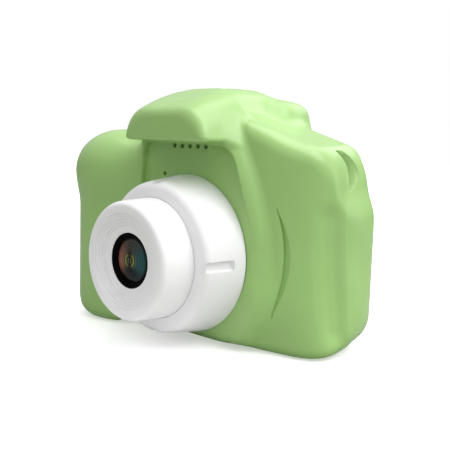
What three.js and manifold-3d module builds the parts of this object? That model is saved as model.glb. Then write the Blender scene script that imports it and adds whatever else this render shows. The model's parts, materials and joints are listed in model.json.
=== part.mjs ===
// Child's digital camera: a two-part moulded case round a small camera, a 2 inch display,
// a flat cell and one main board, with a fixed two-step lens barrel on the front.
// Millimetres. +Z up, front (lens) towards -Y, grip towards -X.
// Origin: the flat underside, straight below the lens axis and 14 mm behind the lens seat.
import * as THREE from 'three';
import { mergeVertices } from 'three/addons/utils/BufferGeometryUtils.js';
import Module from 'manifold-3d';

const wasm = await Module();
wasm.setup();
const { degToRad } = THREE.MathUtils;

// ---------------------------------------------------------------- driving dimensions
const WALL = 1.9;              // case wall
const SEAM_Y = 2.0;            // parting plane of the two case halves
const SEAM_GAP = 0.15;         // each half stops this far from the parting plane
const SEAT_Y = -14.0;          // plane the lens barrel stands on
const SEAT_INNER_Y = SEAT_Y + WALL;
const LENS_Z = 22.0;           // height of the lens axis
const BACK_Y = 16.0;           // rear face of the case
const LEFT_X = -39.6, RIGHT_X = 38.7;
const GRIP_X = -41.6, GRIP_Y = -21.4;

// lens barrels: base radius, rim radius, height; the inner one stands above the outer one
const OUTER_R0 = 20.0, OUTER_R1 = 18.25, OUTER_H = 11.86;
const INNER_R0 = 14.63, INNER_R1 = 14.09, INNER_H = 8.98;
const RIM_Y = SEAT_Y - OUTER_H;
const TIP_Y = RIM_Y - INNER_H;
const GROOVE = { width: 2.0, length: 7.6, floorR: 17.55 };
const BEZEL_R = 6.57, BEZEL_IN = 5.35, BEZEL_RECESS = 2.2;
const GLASS_R = 5.25;
const SEAT_HOLE_R = 10.5;
const BARREL_SCREW_PCR = 15.4; // pitch circle radius
const BARREL_SCREWS = [90, 210, 330].map(degToRad).map((angle) => ({
  x: BARREL_SCREW_PCR * Math.cos(angle),
  z: LENS_Z + BARREL_SCREW_PCR * Math.sin(angle),
}));

const WINDOW = { x: 6.6, z: 25.5, w: 44.0, h: 34.0, t: 1.0 };
const VIEW = { w: 41.0, h: 31.0 };
const LCD = { y0: 10.35, y1: 12.6, w: 44.2, h: 35.0 };
const BOARD = { x0: -35.5, x1: 29.3, z0: 5.0, z1: 40.6, y0: 8.0, y1: 9.2 };
const PARTS_Y = BOARD.y0 - 0.1;    // rear of the parts on the board's front face

const KEY_X = -25.6, KEY_Z = 25.0, KEY_PITCH = 6.2;
const KEY_R = 2.45, KEY_FLANGE_R = 2.9, KEY_PROUD = 0.8;
const key = (name, across, up) => ({
  name, x: KEY_X + across * KEY_PITCH, z: KEY_Z + up * KEY_PITCH,
});
const KEYS = [
  key('up', 0, 1), key('down', 0, -1), key('left', -1, 0), key('right', 1, 0), key('ok', 0, 0),
];
const TOP_TILT = degToRad(8);
const TOP_Y = 7.5;
const SHUTTER = { name: 'shutter', x: -28.0, r: 3.8, segments: 24 };  // segments: of its hole
const POWER = { name: 'power', x: -19.2, r: 2.2, segments: 20 };
const TOP_BUTTONS = [SHUTTER, POWER];

const PORT = { x0: -5.0, x1: 22.0, y0: 3.4, y1: 9.9, t: 1.3 };
const RESET = { x: -9.0, y: 6.3 };
const CASE_SCREWS = [
  { x: -34.0, z: 7.0, tip: -5.0 },
  { x: -34.0, z: 41.0, tip: -5.0 },
  { x: 33.0, z: 6.2, tip: -0.5 },
  { x: 32.5, z: 35.6, tip: -0.5 },
];
const HEAD_FLOOR_Y = 6.6;      // floor of the case screws' head holes
const HEAD_GAP = 0.15;         // under the heads of the case and barrel screws
const BOARD_POSTS = [{ x: -31.0, z: 33.5 }, { x: 2.0, z: 12.5 }];
const SPEAKER_Z = 50.0, SPEAKER_R = 7.5;
const SOUND_HOLES = [-5.6, -2.8, 0.0, 2.8, 5.6], SOUND_Z = 49.0;
const MIC = { x: -9.0, z: 41.7 };
const GASKET_Y = SEAT_INNER_Y + 0.15;  // front of the speaker gasket and microphone boot
// curved strap tunnel: centre, mid radius, height of its middle, radial width, height
const STRAP = { x: 39.0, y: 10.55, r: 8.2, z: 43.1, w: 1.2, h: 4.4 };
// crescent scoop on the +X side of the lens: circle x, r less circle xi, ri
const SCOOP = { x: 1.2, r: 27.2, xi: -25.25, ri: 52.0, z: LENS_Z + 0.4, depth: 0.8 };

// ---------------------------------------------------------------- case surface
// Signed fields, below zero inside. In all but caseField, y is measured from the lens seat
// and z from the lens axis. The last argument of a smooth min or max is its blend width.
const smoothMin = (a, b, blend) => {
  const overlap = Math.max(blend - Math.abs(a - b), 0) / blend;
  return Math.min(a, b) - overlap * overlap * blend * 0.25;
};
const smoothMax = (a, b, blend) => -smoothMin(-a, -b, blend);
// eases from 0 to 1 as value goes from start to end, which may run downwards
const ease = (start, end, value) => {
  const t = Math.min(Math.max((value - start) / (end - start), 0), 1);
  return t * t * (3 - 2 * t);
};

// +X side, drawn in at the top rear corner
const rightSide = (x, y, z) => x - RIGHT_X + 2.0 * ease(11, 18.5, z) * ease(13, 18.5, y);
const gripRoofZ = (y) => 30.6 - 0.14 * (y - 4);
const toeIn = (z) => 0.075 * Math.max(-15.5 - z, 0) ** 2;
function humpTopZ(y) {
  const ahead = Math.max(14 - y, 0);
  const behind = Math.max(y - 17, 0);
  return 41.9 - 0.0112 * ahead * ahead - 0.012 * behind * behind;
}
function lensBlockSide(x, z) {
  const up = z + 3;
  return Math.hypot(x, Math.min(up, 0)) - 24.9 + 0.0072 * Math.max(up, 0) ** 2;
}

// Main case with its two roofs, and the hump over the lens.
function bodyField(x, y, z) {
  const absX = Math.abs(x);
  const leftRoof = gripRoofZ(y) - 0.03 * Math.max(-34 - x, 0) ** 2;
  const rightRoof = 33.1 - 0.305 * smoothMax(absX - 15.5, 0, 4) + 0.04 * (y - 28)
    - 0.19 * Math.max(absX - (29.3 + 0.075 * (28 - y)), 0) ** 2
    + 1.7 * ease(19, 5, y) * ease(28.5, 17, x) * ease(8, 15, x);
  const roof = rightRoof + (leftRoof - rightRoof) * ease(6, -14, x);
  const main = smoothMax(rightSide(x, y, z), (z - roof) * 0.93, 5);

  let hump = smoothMax((absX - (15.3 + 0.72 * (30 - z))) * 0.81, z - humpTopZ(y), 3.6);
  hump = smoothMax(hump, y - 23.6, 5.5);
  const body = smoothMax(smoothMin(main, hump, 5), LEFT_X - x + toeIn(z), 8);
  return smoothMax(body, y - (BACK_Y - SEAT_Y), 6.5);
}

// Eyepiece bump behind the hump.
function eyepieceField(x, y, z) {
  let bump = smoothMax(Math.abs(x) - 14.3 - 0.10 * (36 - z), y - 32.2, 4.5);
  bump = smoothMax(bump, z - 39.3, 4.5);
  bump = smoothMax(bump, 18 - y, 7);
  return smoothMax(bump, 22 - z, 5);
}

// Front: two swept panels, and the block that carries the lens.
function frontField(x, y, z) {
  const low = ease(-7, -20, z);
  const outboard = smoothMax(Math.abs(x), 16, 6) - 20;
  let panel = ((1.8 + 2.6 * low) + (0.36 - 0.20 * low) * outboard - y) * 0.94;
  const flute = 1.25 * ease(8.5, 12.8, y) * (1 - ease(13.7, 16.5, y))
    * ease(24, 33, x) * ease(-21, -15, z) * ease(16, 11, z);
  panel = smoothMax(panel, rightSide(x, y, z) + flute, 18 - 8 * ease(6, -22, z));

  const tilt = Math.min(
    Math.max(Math.hypot(x, z) - 20.4, 0),
    Math.max(x - 16.8 - (22 - z) * 0.26 + 3 * ease(8, -2, z), 0),
  );
  const faceY = -2.3 * ease(0, 26, z) + 0.10 * Math.max(z - 31, 0) ** 1.5 + 0.40 * tilt;
  const block = smoothMax(lensBlockSide(x, z) + 0.3, faceY - y, 4.5);
  return smoothMin(panel, block, 1.2 + 5 * ease(2, -16, z));
}

// Solid brow over the lens.
function browField(x, y, z) {
  const spread = 0.18 + 0.20 * ease(-4, 4, x);
  const halfWidth = 14.3 + spread * (28.4 - z) + 0.16 * (y + 9.7);
  let brow = smoothMax((Math.abs(x) - halfWidth) * 0.97, z - humpTopZ(y), 6.5);
  brow = smoothMax(brow, -9.8 - y, 2);
  brow = smoothMax(brow, 28.2 - z, 1.2);
  return smoothMax(brow, y - 6, 2);
}

// Niche under the brow, back to the plane the lens stands on.
function nicheField(x, y, z) {
  const halfWidth = x < 0 ? 15.6 + (24.5 - z) * 0.13 : 17.2 + (22 - z) * 0.26;
  const niche = smoothMax(Math.abs(x) - halfWidth, z - 27.6, 5 - 4.4 * ease(4, -4, x));
  return Math.max(niche, y, -7 - y);
}

function gripField(x, y, z) {
  let grip = smoothMax(GRIP_X - x + toeIn(z), (GRIP_Y - SEAT_Y) - y, 9.5);
  grip = smoothMax(grip, (x + 15) * 0.58 - (y + 1.2) * 0.815, 5);
  grip = smoothMax(grip, z - 26.5, 9);
  return smoothMax(grip, y - 18, 6);
}

// Ellipsoid that swells the top of the grip.
function gripTopField(x, y, z) {
  const radii = [11.8, 10.4, 10.9];
  const scaled = [x + 30, y - 1.6, z - 19.7].map((v, axis) => v / radii[axis]);
  const level = Math.hypot(...scaled) + 1e-9;
  const slope = Math.hypot(...scaled.map((v, axis) => v / radii[axis])) + 1e-9;
  return level * (level - 1) / slope;
}

function caseField(worldX, worldY, worldZ, withBrow) {
  const at = [worldX, worldY - SEAT_Y, worldZ - LENS_Z];
  const [x, y, z] = at;
  const niche = nicheField(...at);
  let d = smoothMin(bodyField(...at), eyepieceField(...at), 3.6);
  d = smoothMax(d, frontField(...at), 3.8 + 1.8 * ease(1.5, -1.5, lensBlockSide(x, z)));
  if (withBrow) d = smoothMin(d, browField(...at), 2);
  d = smoothMax(d, -niche, 0.6);
  d = smoothMin(d, smoothMax(gripField(...at), -niche, 0.6), 4);
  d = smoothMin(d, gripTopField(...at), 4);
  // flat underside, its edge rounding varied round the case
  const edge = 2.6 + 2.4 * ease(22, 13, x) * ease(-24, -12, x) + 0.9 * ease(-14, -26, x)
    + 6.4 * ease(8, 22, y) * ease(20, 34, x);
  return smoothMax(d, -LENS_Z - z, edge);
}

// ---------------------------------------------------------------- surface from a field
const makeGeometry = (positions, indices) => {
  const g = new THREE.BufferGeometry();
  g.setAttribute('position', new THREE.Float32BufferAttribute(positions, 3));
  g.setIndex(indices);
  return g;
};
const steps = (a, b, n) => Array.from({ length: n + 1 }, (_, i) => a + (b - a) * i / n);

function* gridPoints([nx, ny, nz]) {
  for (let i = 0; i < nx; i++) {
    for (let j = 0; j < ny; j++) {
      for (let k = 0; k < nz; k++) yield [i, j, k];
    }
  }
}

// Newton steps along the slope, held near the start, then snapped to the underside or back.
function slideOntoSurface(field, start) {
  const delta = 1e-3, reach = 1.2, snap = 0.03;
  let point = start;
  for (let pass = 0; pass < 5; pass++) {
    const value = field(...point);
    const slope = [0, 1, 2].map((axis) => {
      const ahead = point.slice();
      const behind = point.slice();
      ahead[axis] += delta;
      behind[axis] -= delta;
      return (field(...ahead) - field(...behind)) / (2 * delta);
    });
    const steepness = Math.max(slope[0] ** 2 + slope[1] ** 2 + slope[2] ** 2, 0.1);
    point = point.map((v, axis) => v - slope[axis] * value / steepness);
    const moved = Math.hypot(...point.map((v, axis) => v - start[axis]));
    if (moved > reach) {
      point = point.map((v, axis) => start[axis] + (v - start[axis]) * reach / moved);
    }
  }
  for (const [axis, plane] of [[2, 0], [1, BACK_Y]]) {
    if (Math.abs(point[axis] - plane) < snap) point[axis] = plane;
  }
  return point;
}

// Closed surface where a field crosses zero: one point in each crossed cell of the grid
// [xs, ys, zs], and a quad across each crossed grid edge.
function fieldGeometry(field, grid) {
  const size = grid.map((stations) => stations.length);
  const indexOf = ([i, j, k]) => (i * size[1] + j) * size[2] + k;
  const values = new Float64Array(size[0] * size[1] * size[2]);
  for (const g of gridPoints(size)) {
    values[indexOf(g)] = field(...g.map((n, axis) => grid[axis][n]));
  }

  const corners = steps(0, 7, 7).map((c) => [c & 1, (c >> 1) & 1, (c >> 2) & 1]);
  const edges = corners.flatMap((_, a) => [a ^ 1, a ^ 2, a ^ 4].filter((b) => b > a).map((b) => [a, b]));
  const pointIds = new Int32Array(values.length).fill(-1);
  const positions = [];
  for (const cell of gridPoints(size.map((n) => n - 1))) {
    const v = corners.map((corner) => values[indexOf(cell.map((n, axis) => n + corner[axis]))]);
    const sum = [0, 0, 0];
    let crossings = 0;
    for (const [a, b] of edges) {
      if ((v[a] < 0) === (v[b] < 0)) continue;
      const t = v[a] / (v[a] - v[b]);
      for (let axis = 0; axis < 3; axis++) {
        sum[axis] += corners[a][axis] + (corners[b][axis] - corners[a][axis]) * t;
      }
      crossings++;
    }
    if (!crossings) continue;
    const start = cell.map((n, axis) => {
      const stations = grid[axis];
      return stations[n] + (stations[n + 1] - stations[n]) * sum[axis] / crossings;
    });
    pointIds[indexOf(cell)] = positions.length / 3;
    positions.push(...slideOntoSurface(field, start));
  }

  const pointAt = (id) => new THREE.Vector3().fromArray(positions, id * 3);
  const indices = [];
  for (let axis = 0; axis < 3; axis++) {
    const u = (axis + 1) % 3, w = (axis + 2) % 3;
    for (const g of gridPoints(size.map((n, other) => n - (other === axis)))) {
      if (g[u] < 1 || g[w] < 1 || g[u] >= size[u] - 1 || g[w] >= size[w] - 1) continue;
      const next = g.slice();
      next[axis]++;
      const inside = values[indexOf(g)] < 0;
      if (inside === values[indexOf(next)] < 0) continue;
      const quad = [[-1, -1], [0, -1], [0, 0], [-1, 0]].map(([du, dw]) => {
        const cell = g.slice();
        cell[u] += du;
        cell[w] += dw;
        return pointIds[indexOf(cell)];
      });
      if (!inside) quad.reverse();
      // split along the shorter diagonal
      const [a, b, c, d] = quad;
      const [pa, pb, pc, pd] = quad.map(pointAt);
      if (pa.distanceTo(pc) <= pb.distanceTo(pd)) indices.push(a, b, c, a, c, d);
      else indices.push(a, b, d, b, c, d);
    }
  }
  return makeGeometry(positions, indices);
}

// ---------------------------------------------------------------- solids
// Joins coincident points and drops collapsed triangles.
function weld(geometry) {
  const bare = geometry.clone();
  bare.deleteAttribute('normal');
  bare.deleteAttribute('uv');
  const joined = mergeVertices(bare, 1e-4);
  const source = joined.index.array;
  const indices = [];
  for (let i = 0; i < source.length; i += 3) {
    const [a, b, c] = source.slice(i, i + 3);
    if (a !== b && b !== c && a !== c) indices.push(a, b, c);
  }
  return makeGeometry(Array.from(joined.attributes.position.array), indices);
}
function solid(geometry) {
  const g = geometry.index && !geometry.attributes.uv ? geometry : weld(geometry);
  return new wasm.Manifold(new wasm.Mesh({
    numProp: 3,
    vertProperties: new Float32Array(g.attributes.position.array),
    triVerts: new Uint32Array(g.index.array),
  }));
}
function toGeometry(manifold) {
  const mesh = manifold.getMesh();
  return makeGeometry(Array.from(mesh.vertProperties), Array.from(mesh.triVerts));
}
const union = (list) => list.map(solid).reduce((a, b) => a.add(b));
const cut = (g, tools) => toGeometry(solid(g).subtract(union(tools)));

const box = (x0, x1, y0, y1, z0, z1) => new THREE.BoxGeometry(x1 - x0, y1 - y0, z1 - z0)
  .translate((x0 + x1) / 2, (y0 + y1) / 2, (z0 + z1) / 2);
const cylY = (x, z, r, y0, y1, n) => new THREE.CylinderGeometry(r, r, y1 - y0, n)
  .translate(x, (y0 + y1) / 2, z);
const cylZ = (x, y, r, z0, z1, n) => new THREE.CylinderGeometry(r, r, z1 - z0, n)
  .rotateX(Math.PI / 2).translate(x, y, (z0 + z1) / 2);

// Body of revolution about the Y direction through (x, z); points are [radius, y].
function turnY(points, segments, x = 0, z = 0) {
  const profile = points.map(([r, y]) => new THREE.Vector2(r, y));
  const area = profile.reduce((sum, p, i) => {
    const next = profile[(i + 1) % profile.length];
    return sum + p.x * next.y - next.x * p.y;
  }, 0);
  if (area < 0) profile.reverse();
  const onAxis = profile[0].x < 1e-6 && profile[profile.length - 1].x < 1e-6;
  if (!onAxis) profile.push(profile[0].clone());
  return weld(new THREE.LatheGeometry(profile, segments)).translate(x, 0, z);
}

// Rectangles in X-Z are [x0, x1, z0, z1].
const aroundWindow = (w, h) => [
  WINDOW.x - w / 2, WINDOW.x + w / 2, WINDOW.z - h / 2, WINDOW.z + h / 2,
];
const blockY = ([x0, x1, z0, z1], y0, y1) => box(x0, x1, y0, y1, z0, z1);

// Rectangle with corners of radius r, from y0 to y1, with an optional rectangular hole.
function plateY([x0, x1, z0, z1], r, y0, y1, hole) {
  const s = new THREE.Shape();
  s.moveTo(x0 + r, z0);
  s.lineTo(x1 - r, z0);
  s.absarc(x1 - r, z0 + r, r, -Math.PI / 2, 0);
  s.lineTo(x1, z1 - r);
  s.absarc(x1 - r, z1 - r, r, 0, Math.PI / 2);
  s.lineTo(x0 + r, z1);
  s.absarc(x0 + r, z1 - r, r, Math.PI / 2, Math.PI);
  s.lineTo(x0, z0 + r);
  s.absarc(x0 + r, z0 + r, r, Math.PI, Math.PI * 1.5);
  if (hole) {
    const [a0, a1, b0, b1] = hole;
    const corners = [[a0, b0], [a0, b1], [a1, b1], [a1, b0], [a0, b0]];
    s.holes.push(new THREE.Path(corners.map(([x, z]) => new THREE.Vector2(x, z))));
  }
  return new THREE.ExtrudeGeometry(s, { depth: y1 - y0, bevelEnabled: false, curveSegments: 4 })
    .rotateX(Math.PI / 2).translate(0, y1, 0);
}

// Shape drawn in (y, z), extruded from x0 to x1.
function extrudeX(shape, x0, x1, curveSegments) {
  const options = { depth: x1 - x0, bevelEnabled: false, curveSegments };
  const toWorld = new THREE.Matrix4().set(0, 0, 1, x0, 1, 0, 0, 0, 0, 1, 0, 0, 0, 0, 0, 1);
  return new THREE.ExtrudeGeometry(shape, options).applyMatrix4(toWorld);
}
const prismX = (points, x0, x1) => (
  extrudeX(new THREE.Shape(points.map(([y, z]) => new THREE.Vector2(y, z))), x0, x1)
);

function wire(points, r) {
  const extrudePath = new THREE.CatmullRomCurve3(points.map((p) => new THREE.Vector3(...p)));
  const s = new THREE.Shape();
  s.absarc(0, 0, r, 0, Math.PI * 2);
  const options = { steps: 7, bevelEnabled: false, extrudePath, curveSegments: 2 };
  return new THREE.ExtrudeGeometry(s, options);
}

// ---------------------------------------------------------------- materials
const MATERIALS = {    // colour, roughness, metalness
  green: [0xa8d282, 0.42, 0], white: [0xf4f2f5, 0.38, 0], black: [0x101012, 0.3, 0],
  glass: [0x1a1a1e, 0.05, 0], key: [0xf2f1f3, 0.4, 0], rubber: [0x9fce7c, 0.7, 0],
  board: [0x1c6b3c, 0.6, 0], steel: [0xb9bcc0, 0.3, 1], chip: [0x18181a, 0.5, 0],
  cell: [0xc9ccd2, 0.4, 0.3], flex: [0xc87a28, 0.5, 0], red: [0xc0221c, 0.5, 0],
  dark: [0x1c1c1f, 0.5, 0], foam: [0x2a2a2c, 0.95, 0],
};
const group = new THREE.Group();
function add(name, geometry, material, parent = group) {
  const [color, roughness, metalness] = MATERIALS[material];
  const look = new THREE.MeshStandardMaterial({ color, roughness, metalness });
  const mesh = new THREE.Mesh(geometry, look);
  mesh.name = name;
  parent.add(mesh);
}

// Tilted frame of the grip's top, which carries the two top buttons.
const topGroup = new THREE.Group();
topGroup.position.set(0, TOP_Y, LENS_Z + gripRoofZ(TOP_Y - SEAT_Y));
topGroup.rotation.x = -TOP_TILT;
topGroup.updateMatrixWorld(true);

// ---------------------------------------------------------------- case
const blank = solid(fieldGeometry(
  (x, y, z) => caseField(x, y, z, true),
  [steps(-45.3, 42.1, 24), steps(-26.9, 21.5, 15), steps(-3.3, 66.6, 20)],
));

// Skin of the case inside the crescent outline.
function scoopCut() {
  const crescent = solid(cylY(SCOOP.x, SCOOP.z, SCOOP.r, -30, 0, 90))
    .subtract(solid(cylY(SCOOP.xi, SCOOP.z, SCOOP.ri, -31, 1, 160)))
    .intersect(solid(box(15, 40, -30, 0, 5, 40)));
  return crescent.subtract(blank.translate([-0.35, SCOOP.depth, 0.02]));
}

// Skin of the case inside the outline of the pocket the wrist strap starts in.
function strapPocketCut() {
  const heights = steps(17.8, 25.7, 8);      // above the lens axis
  const sweep = (z) => 0.17 * Math.max(z - 22.9, 0) ** 1.8;
  const frontEdge = heights.map((z) => [5.25 - sweep(z), z + LENS_Z]);
  const rearEdge = heights.map((z) => (
    [Math.max(9.2 - 0.16 * (z - 22.3) ** 2, 5.6 - sweep(z)), z + LENS_Z]
  ));
  return solid(prismX([...frontEdge, ...rearEdge.reverse()], 30, 46))
    .subtract(blank.translate([-1.6, 0.03, -0.03]));
}

function strapTunnel() {
  const s = new THREE.Shape();
  const a0 = degToRad(-137), a1 = degToRad(-226.5);
  s.absarc(0, 0, STRAP.r + STRAP.w / 2, a0, a1, true);
  s.absarc(0, 0, STRAP.r - STRAP.w / 2, a1, a0, false);
  return solid(new THREE.ExtrudeGeometry(s, {
    depth: STRAP.h, bevelEnabled: false, curveSegments: 8,
  }).translate(STRAP.x, STRAP.y, STRAP.z - STRAP.h / 2));
}

const outer = blank.subtract(scoopCut()).subtract(strapPocketCut());
// the cavity leaves solid material round the strap tunnel
const cavity = solid(fieldGeometry(
  (x, y, z) => caseField(x, y, z, false) + WALL,
  [steps(-44.0, 40.6, 14), steps(-24.6, 20.0, 8), steps(-2.6, 65.0, 12)],
)).subtract(solid(
  box(29.2, 45, 3.0, 20, STRAP.z - STRAP.h / 2 - 1.1, STRAP.z + STRAP.h / 2 + 3),
));
const shell = outer.subtract(cavity);
const tunnel = strapTunnel();
const screwPillars = CASE_SCREWS.map((s) => cylY(s.x, s.z, 3.2, -21, BACK_Y + 1, 16));

function frontShell() {
  const posts = BOARD_POSTS.map((s) => cylY(s.x, s.z, 2.2, -21, BOARD.y0 - 0.2, 12));
  return shell
    .add(union([...screwPillars, ...posts]).intersect(outer))
    .subtract(tunnel)
    .intersect(solid(box(-60, 60, -60, SEAM_Y - SEAM_GAP, -10, 80)))
    .add(union(posts).intersect(outer))      // the board posts run on past the seam
    .subtract(union([
      cylY(0, LENS_Z, OUTER_R0 + 0.3, -30, SEAT_Y, 64),
      cylY(0, LENS_Z, SEAT_HOLE_R, -30, -8, 32),
      ...SOUND_HOLES.map((x) => cylY(x, SOUND_Z, 0.6, -18, -9, 8)),
      cylY(MIC.x, MIC.z, 0.5, -18, -9, 8),
      ...BARREL_SCREWS.map((s) => cylY(s.x, s.z, 1.3, -20, -8, 10)),
      ...BARREL_SCREWS.map((s) => cylY(s.x, s.z, 2.3, SEAT_INNER_Y, -8, 16)),
      ...CASE_SCREWS.map((s) => cylY(s.x, s.z, 1.2, s.tip - 0.5, 10, 10)),
      ...BOARD_POSTS.map((s) => cylY(s.x, s.z, 1.0, 1.0, 12, 10)),
    ]));
}

function rearShell() {
  const onTop = (g) => g.applyMatrix4(topGroup.matrixWorld);
  const keyMargin = KEY_PITCH + KEY_FLANGE_R + 0.3;
  return shell
    .add(union(screwPillars).intersect(outer))
    .subtract(tunnel)
    .intersect(solid(box(-60, 60, SEAM_Y + SEAM_GAP, 60, -10, 80)))
    .subtract(union([
      // window recess and view opening
      plateY(aroundWindow(WINDOW.w + 0.3, WINDOW.h + 0.3), 2.5, BACK_Y - WINDOW.t - 0.1, BACK_Y + 3),
      blockY(aroundWindow(VIEW.w, VIEW.h), 10, 20),
      ...KEYS.map(({ x, z }) => cylY(x, z, KEY_R + 0.25, 10, 20, 20)),
      ...CASE_SCREWS.flatMap((s) => [
        cylY(s.x, s.z, 2.3, HEAD_FLOOR_Y, 22, 16),
        cylY(s.x, s.z, 1.25, 0, 8, 10),
      ]),
      ...TOP_BUTTONS.map((b) => onTop(cylZ(b.x, 0, b.r + 0.25, -6, 6, b.segments))),
      // port cover recess, port opening and reset hole in the underside
      box(PORT.x0 - 0.2, PORT.x1 + 0.2, PORT.y0 - 0.1, PORT.y1, -4, PORT.t + 0.1),
      box(PORT.x0 + 1.2, PORT.x1 - 0.8, PORT.y0 + 1.2, PORT.y1 - 1.6, -4, 3.2),
      cylZ(RESET.x, RESET.y, 0.6, -4, 4, 8),
      // pockets that seat the display frame, the key flanges and the button flanges
      blockY(aroundWindow(45.2, 35.6), 3, BACK_Y - WALL - 0.05),
      box(KEY_X - keyMargin, WINDOW.x - 22.4, 3, BACK_Y - WALL - 0.3,
        KEY_Z - keyMargin, KEY_Z + keyMargin),
      ...TOP_BUTTONS.map((b) => onTop(cylZ(b.x, 0, b.r + 1.2, -8, -2.2, 20))),
    ]));
}
add('front_shell', toGeometry(frontShell()), 'green');
add('rear_shell', toGeometry(rearShell()), 'green');

// ---------------------------------------------------------------- lens barrel
function outerBarrel() {
  const body = turnY([
    [OUTER_R0, SEAT_Y - 0.1], [OUTER_R0 - 0.2, SEAT_Y - 1.2], [OUTER_R1 + 0.55, RIM_Y + 2.2],
    [OUTER_R1 + 0.05, RIM_Y + 0.8], [OUTER_R1 - 0.7, RIM_Y + 0.15], [OUTER_R1 - 1.6, RIM_Y],
    [14.95, RIM_Y], [14.95, RIM_Y + 1.9], [16.7, RIM_Y + 1.9],
    [17.2, SEAT_Y - 2.6], [12.0, SEAT_Y - 2.6], [12.0, SEAT_Y - 0.1],
  ], 40, 0, LENS_Z);
  const half = GROOVE.width / 2;
  return cut(body, [
    ...[0, 90, 180, 270].map((angle) => (
      box(-half, half, RIM_Y - 1, RIM_Y + GROOVE.length, GROOVE.floorR, 23)
        .rotateY(degToRad(angle)).translate(0, 0, LENS_Z)
    )),
    ...BARREL_SCREWS.map((s) => cylY(s.x, s.z, 1.15, SEAT_Y - 6, SEAT_Y + 2, 10)),
  ]);
}
add('lens_outer_barrel', outerBarrel(), 'white');

// Pieces turned about the lens axis; profiles are [radius, y behind the given plane].
const turnLens = (baseY, profile, segments) => (
  turnY(profile.map(([r, y]) => [r, baseY + y]), segments, 0, LENS_Z)
);
const RIM = -TIP_Y + RIM_Y;    // outer rim, measured from the tip
add('lens_inner_barrel', turnLens(TIP_Y, [
  [16.4, RIM + 2.0], [14.68, RIM + 2.0], [INNER_R0, RIM - 0.4],
  [INNER_R1 + 0.1, 1.9], [INNER_R1 - 0.35, 0.8], [INNER_R1 - 1.1, 0.2], [INNER_R1 - 2.1, 0],
  [11.2, 0], [11.1, 0.3], [9.3, 0.7], [9.2, 1.1], [BEZEL_R + 0.15, 1.7],
  [BEZEL_R + 0.15, 4.4], [12.4, 4.4], [12.4, RIM + 3.8], [16.4, RIM + 3.8],
], 40), 'white');
add('lens_retainer', turnLens(RIM_Y, [[12.9, 3.9], [16.4, 3.9], [16.4, 5.6], [12.9, 5.6]], 28), 'black');
add('lens_bezel_ring', turnLens(TIP_Y, [
  [BEZEL_R, BEZEL_RECESS], [BEZEL_R - 0.5, BEZEL_RECESS - 0.25], [BEZEL_IN, BEZEL_RECESS],
  [BEZEL_IN, 3.9], [4.3, 3.9], [4.3, 5.2], [8.4, 5.2], [8.4, 4.5], [BEZEL_R, 4.5],
], 28), 'black');
add('lens_glass', turnLens(TIP_Y, [
  [0, 2.05], [1.8, 2.12], [3.4, 2.35], [4.6, 2.7], [GLASS_R, 3.0], [GLASS_R, 3.8], [0, 3.8],
], 24), 'glass');
add('camera_module_lens', turnLens(TIP_Y, [
  [0, 4.5], [2.2, 4.3], [3.6, 4.3], [3.6, 7.9], [0, 7.9],
], 16), 'black');

const aroundLens = (half) => [-half, half, LENS_Z - half, LENS_Z + half];
add('camera_module', blockY(aroundLens(4.5), TIP_Y + 8.0, TIP_Y + 11.6), 'dark');
add('camera_sensor_board', plateY(aroundLens(7), 1.5, TIP_Y + 11.7, TIP_Y + 12.6), 'board');
const CAMERA_FLEX = [          // y, z from the lens axis
  [TIP_Y + 12.7, -0.15], [-12, -0.15], [-6, 3.85], [2, 3.85], [7.6, -0.15], [7.6, -2.0],
  [7.9, -2.0], [7.9, 0.15], [2.1, 4.15], [-6.1, 4.15], [-12.1, 0.15], [TIP_Y + 12.7, 0.15],
];
add('camera_flex', prismX(CAMERA_FLEX.map(([y, z]) => [y, LENS_Z + z]), -4, 4), 'flex');

// ---------------------------------------------------------------- display and boards
add('screen_window',
  plateY(aroundWindow(WINDOW.w, WINDOW.h), 2.4, BACK_Y - WINDOW.t, BACK_Y), 'glass');
add('display_frame', plateY(aroundWindow(44.6, 35), 1, LCD.y1 + 0.1, BACK_Y - WALL - 0.15,
  aroundWindow(VIEW.w, VIEW.h)), 'dark');
add('display_module', blockY(aroundWindow(LCD.w, LCD.h), LCD.y0, LCD.y1), 'glass');
add('display_flex', prismX([
  [11.3, 43.2], [11.3, 46.0], [6.6, 46.0], [6.6, 37],
  [6.9, 37], [6.9, 45.7], [11.0, 45.7], [11.0, 43.2],
], 0, 14), 'flex');
add('main_board', cut(
  plateY([BOARD.x0, BOARD.x1, BOARD.z0, BOARD.z1], 1.5, BOARD.y0, BOARD.y1), [
    ...CASE_SCREWS.map((s) => cylY(s.x, s.z, 3.5, 0, 20, 16)),
    ...BOARD_POSTS.map((s) => cylY(s.x, s.z, 1.2, 0, 20, 10)),
  ],
), 'board');
add('processor_chip', box(-18, -8, 6.8, PARTS_Y, 28, 38), 'chip');
add('memory_chip', box(-17, -11, 6.9, PARTS_Y, 14, 22), 'chip');

const KEY_TOP_Y = BACK_Y + KEY_PROUD;
for (const { name, x, z } of KEYS) {
  add(`key_${name}`, turnY([
    [0, 10.95], [1.1, 10.95], [1.1, 12.7], [KEY_FLANGE_R, 12.7], [KEY_FLANGE_R, 13.6],
    [KEY_R, 13.6], [KEY_R, KEY_TOP_Y - 0.5], [KEY_R - 0.5, KEY_TOP_Y], [0, KEY_TOP_Y + 0.05],
  ], 16, x, z), 'key');
  add(`key_switch_${name}`, turnY([
    [1.5, 10.0], [0, 10.0], [0, 9.3], [2.1, 9.3], [2.1, 10.8], [1.5, 10.8],
  ], 10, x, z), 'dark');
}

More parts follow.
